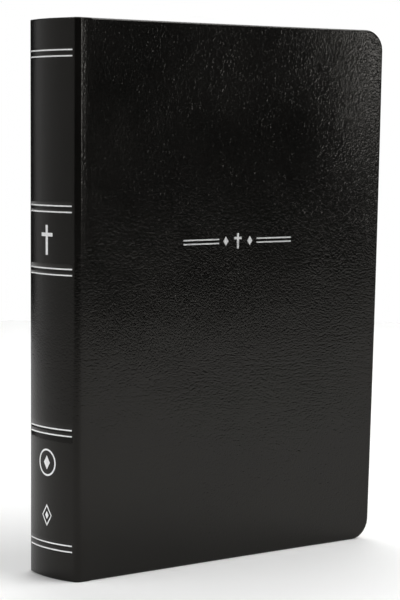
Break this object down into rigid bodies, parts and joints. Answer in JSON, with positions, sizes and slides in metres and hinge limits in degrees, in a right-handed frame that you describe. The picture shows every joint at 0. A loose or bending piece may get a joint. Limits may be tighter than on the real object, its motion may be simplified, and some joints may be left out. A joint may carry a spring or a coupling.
{
  "type": "bible",
  "caption": "Thick book with a flexible black leather-look cover, rounded spine with silver foil rules and plain foil ornaments, hinged covers and fanning page sections.",
  "frame": {"origin": "middle of the closed book's bounding box at its base, where the tail edge stands", "axes": "+Z from tail to head of the book; +X from the spine to the fore-edge; the front cover faces -Y and the back cover +Y"},
  "size_m": [0.1764, 0.036, 0.244],
  "materials": {
    "leather": "satin",
    "foil": "satin",
    "board": "matte",
    "liner_paper": "matte",
    "mull": "matte",
    "glue": "satin",
    "band_thread": "satin",
    "endpaper": "matte",
    "page_paper": "matte",
    "coated_paper": "satin"
  },
  "bodies": {
    "spine": {"spine_skin": "leather", "spine_inlay": "board", "spine_foil_rules": "foil", "spine_foil_cross": "foil", "spine_foil_ring": "foil", "spine_foil_diamond": "foil", "spine_liner": "liner_paper", "mull_cloth": "mull", "spine_glue": "glue", "headband": "band_thread", "tailband": "band_thread", "signature_folds": "page_paper", "center_pages": "page_paper"},
    "front_cover": {"front_cover_skin": "leather", "front_cover_board": "board", "front_pastedown": "endpaper", "front_foil_ornament": "foil"},
    "back_cover": {"back_cover_skin": "leather", "back_cover_board": "board", "back_pastedown": "endpaper"},
    "front_flyleaf": {"front_flyleaf": "endpaper"},
    "front_matter": {"front_matter_pages": "coated_paper"},
    "front_pages_1": {"front_pages_1": "page_paper"},
    "front_pages_2": {"front_pages_2": "page_paper"},
    "front_pages_3": {"front_pages_3": "page_paper"},
    "front_pages_4": {"front_pages_4": "page_paper"},
    "rear_pages_1": {"rear_pages_1": "page_paper"},
    "rear_pages_2": {"rear_pages_2": "page_paper"},
    "rear_pages_3": {"rear_pages_3": "page_paper"},
    "rear_pages_4": {"rear_pages_4": "page_paper"},
    "maps": {"map_pages": "coated_paper"},
    "back_flyleaf": {"back_flyleaf": "endpaper"}
  },
  "joints": [
    {"name": "front_cover_hinge", "type": "hinge", "parent": "spine", "child": "front_cover", "pos_m": [-0.08095, -0.0183, 0.122], "axis": [0, 0, -1], "range_deg": [0, 179]},
    {"name": "back_cover_hinge", "type": "hinge", "parent": "spine", "child": "back_cover", "pos_m": [-0.08095, 0.0183, 0.122], "axis": [0, 0, 1], "range_deg": [0, 179]},
    {"name": "front_flyleaf_turn", "type": "hinge", "parent": "spine", "child": "front_flyleaf", "pos_m": [-0.08095, -0.0183, 0.122], "axis": [0, 0, -1], "range_deg": [0, 174]},
    {"name": "front_matter_turn", "type": "hinge", "parent": "spine", "child": "front_matter", "pos_m": [-0.08095, -0.0183, 0.122], "axis": [0, 0, -1], "range_deg": [0, 162]},
    {"name": "front_pages_1_turn", "type": "hinge", "parent": "spine", "child": "front_pages_1", "pos_m": [-0.08095, -0.0183, 0.122], "axis": [0, 0, -1], "range_deg": [0, 137]},
    {"name": "front_pages_2_turn", "type": "hinge", "parent": "spine", "child": "front_pages_2", "pos_m": [-0.08095, -0.0183, 0.122], "axis": [0, 0, -1], "range_deg": [0, 104]},
    {"name": "front_pages_3_turn", "type": "hinge", "parent": "spine", "child": "front_pages_3", "pos_m": [-0.08095, -0.0183, 0.122], "axis": [0, 0, -1], "range_deg": [0, 69]},
    {"name": "front_pages_4_turn", "type": "hinge", "parent": "spine", "child": "front_pages_4", "pos_m": [-0.08095, -0.0183, 0.122], "axis": [0, 0, -1], "range_deg": [0, 33]},
    {"name": "back_flyleaf_turn", "type": "hinge", "parent": "spine", "child": "back_flyleaf", "pos_m": [-0.08095, 0.0183, 0.122], "axis": [0, 0, 1], "range_deg": [0, 174]},
    {"name": "maps_turn", "type": "hinge", "parent": "spine", "child": "maps", "pos_m": [-0.08095, 0.0183, 0.122], "axis": [0, 0, 1], "range_deg": [0, 162]},
    {"name": "rear_pages_4_turn", "type": "hinge", "parent": "spine", "child": "rear_pages_4", "pos_m": [-0.08095, 0.0183, 0.122], "axis": [0, 0, 1], "range_deg": [0, 137]},
    {"name": "rear_pages_3_turn", "type": "hinge", "parent": "spine", "child": "rear_pages_3", "pos_m": [-0.08095, 0.0183, 0.122], "axis": [0, 0, 1], "range_deg": [0, 104]},
    {"name": "rear_pages_2_turn", "type": "hinge", "parent": "spine", "child": "rear_pages_2", "pos_m": [-0.08095, 0.0183, 0.122], "axis": [0, 0, 1], "range_deg": [0, 69]},
    {"name": "rear_pages_1_turn", "type": "hinge", "parent": "spine", "child": "rear_pages_1", "pos_m": [-0.08095, 0.0183, 0.122], "axis": [0, 0, 1], "range_deg": [0, 33]}
  ],
  "couplings": [
    {"joint": "front_flyleaf_turn", "follows": "front_cover_hinge", "ratio": 0.97},
    {"joint": "front_matter_turn", "follows": "front_cover_hinge", "ratio": 0.9},
    {"joint": "front_pages_1_turn", "follows": "front_cover_hinge", "ratio": 0.76},
    {"joint": "front_pages_2_turn", "follows": "front_cover_hinge", "ratio": 0.58},
    {"joint": "front_pages_3_turn", "follows": "front_cover_hinge", "ratio": 0.38},
    {"joint": "front_pages_4_turn", "follows": "front_cover_hinge", "ratio": 0.18},
    {"joint": "back_flyleaf_turn", "follows": "back_cover_hinge", "ratio": 0.97},
    {"joint": "maps_turn", "follows": "back_cover_hinge", "ratio": 0.9},
    {"joint": "rear_pages_4_turn", "follows": "back_cover_hinge", "ratio": 0.76},
    {"joint": "rear_pages_3_turn", "follows": "back_cover_hinge", "ratio": 0.58},
    {"joint": "rear_pages_2_turn", "follows": "back_cover_hinge", "ratio": 0.38},
    {"joint": "rear_pages_1_turn", "follows": "back_cover_hinge", "ratio": 0.18}
  ]
}
